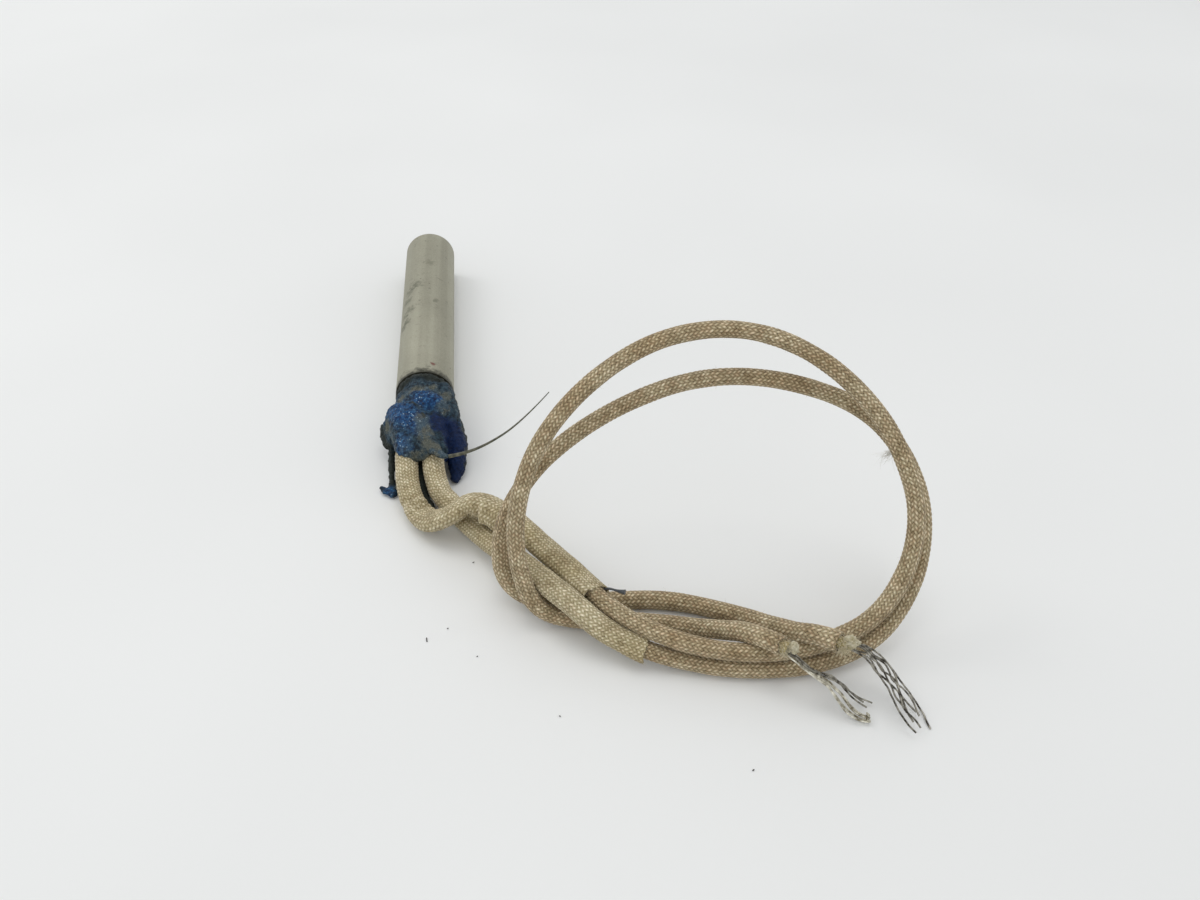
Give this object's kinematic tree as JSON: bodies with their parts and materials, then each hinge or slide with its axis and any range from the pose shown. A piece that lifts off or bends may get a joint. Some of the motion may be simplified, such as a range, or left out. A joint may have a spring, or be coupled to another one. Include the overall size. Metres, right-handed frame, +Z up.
{
  "type": "flame sensor probe",
  "caption": "Flame sensor probe with a closed round metal sheath, blue silicone sealing its mouth, and a pair of woven-glass leads in sleeves that end in bare strands.",
  "frame": {"origin": "centre of the sheath's open end, on the sheath's axis", "axes": "+Y along the sheath towards its closed tip, +Z up from the surface that the probe lies on, +X to the side that the lead loop lies on"},
  "size_m": [0.0989, 0.1604, 0.0482],
  "materials": {
    "sheath_steel": "satin",
    "blue_silicone": "matte",
    "sleeve_weave": "woven glass, matte",
    "lead_braid": "braided glass, matte",
    "inner_weave": "frayed, matte",
    "wire_metal": "dull nickel plate",
    "bung_rubber": "matte",
    "splice_metal": "plated",
    "pin_metal": "satin",
    "ceramic_white": "unglazed",
    "cover_ceramic": "glazed",
    "oxide_powder": "compacted powder"
  },
  "bodies": {
    "root": {"sheath_tube": "sheath_steel", "sheath_end_disc": "sheath_steel", "silicone_potting": "blue_silicone", "silicone_tail": "blue_silicone", "sleeve_a": "sleeve_weave", "sleeve_b": "sleeve_weave", "lead_a": "lead_braid", "lead_b": "lead_braid", "lead_a_inner_layer": "inner_weave", "lead_b_inner_layer": "inner_weave", "lead_a_strand_1": "wire_metal", "lead_a_strand_2": "wire_metal", "lead_a_strand_3": "wire_metal", "lead_a_strand_4": "wire_metal", "lead_a_strand_5": "wire_metal", "lead_a_strand_6": "wire_metal", "lead_a_strand_7": "wire_metal", "lead_b_strand_1": "wire_metal", "lead_b_strand_2": "wire_metal", "lead_b_strand_3": "wire_metal", "lead_b_strand_4": "wire_metal", "lead_b_strand_5": "wire_metal", "lead_b_strand_6": "wire_metal", "lead_b_strand_7": "wire_metal", "conductor_a": "wire_metal", "conductor_b": "wire_metal", "mouth_plug": "bung_rubber", "splice_barrel_a": "splice_metal", "splice_barrel_b": "splice_metal", "element_pin_a": "pin_metal", "element_pin_b": "pin_metal", "element_winding": "pin_metal", "insulator_bead_1": "ceramic_white", "insulator_bead_2": "ceramic_white", "insulator_bead_3": "ceramic_white", "element_core": "ceramic_white", "tip_spacer": "ceramic_white", "element_cover": "cover_ceramic", "oxide_packing": "oxide_powder"}
  },
  "joints": []
}
